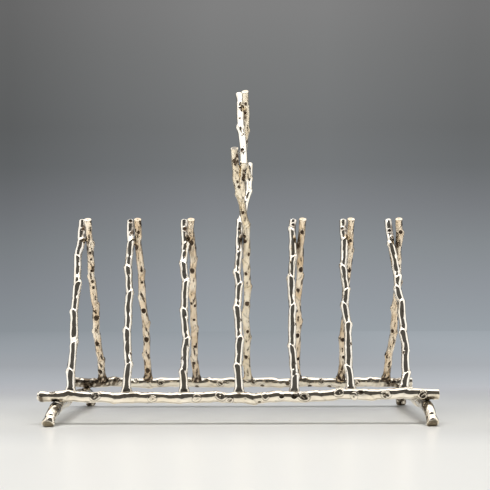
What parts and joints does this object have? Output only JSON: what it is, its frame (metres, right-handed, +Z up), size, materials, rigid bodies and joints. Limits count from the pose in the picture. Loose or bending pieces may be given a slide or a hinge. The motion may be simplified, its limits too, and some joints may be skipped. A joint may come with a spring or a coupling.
{
  "type": "toast rack",
  "caption": "Rustic twig toast rack: leaning forked dividers stand on two long rails over bowed cross feet, with a tall looped carrying handle in the middle.",
  "frame": {"origin": "centre of the overall box at table level, under the middle of the rack", "axes": "+X along the two base rails to the right, +Y from the front rail to the rear rail, +Z up from the table"},
  "size_m": [0.1774, 0.1162, 0.156],
  "materials": {
    "rail": "polished silver plate over cast twig rod, warm with light tarnish in the hollows",
    "bow": "polished silver plate, slightly darker with tarnish in the joints",
    "divider": "polished silver plate over cast twig rod, worn bright on the nodes",
    "handle": "polished silver plate over cast twig rod, worn brightest where it is held"
  },
  "bodies": {
    "root": {"rail_front": "rail", "rail_rear": "rail", "bow_left": "bow", "bow_right": "bow", "divider_1_front": "divider", "divider_1_rear": "divider", "divider_2_front": "divider", "divider_2_rear": "divider", "divider_3_front": "divider", "divider_3_rear": "divider", "divider_5_front": "divider", "divider_5_rear": "divider", "divider_6_front": "divider", "divider_6_rear": "divider", "divider_7_front": "divider", "divider_7_rear": "divider", "handle_twig_front": "handle", "handle_twig_rear": "handle", "handle_spur_front": "handle", "handle_upper_front": "handle", "handle_upper_rear": "handle"}
  },
  "joints": []
}
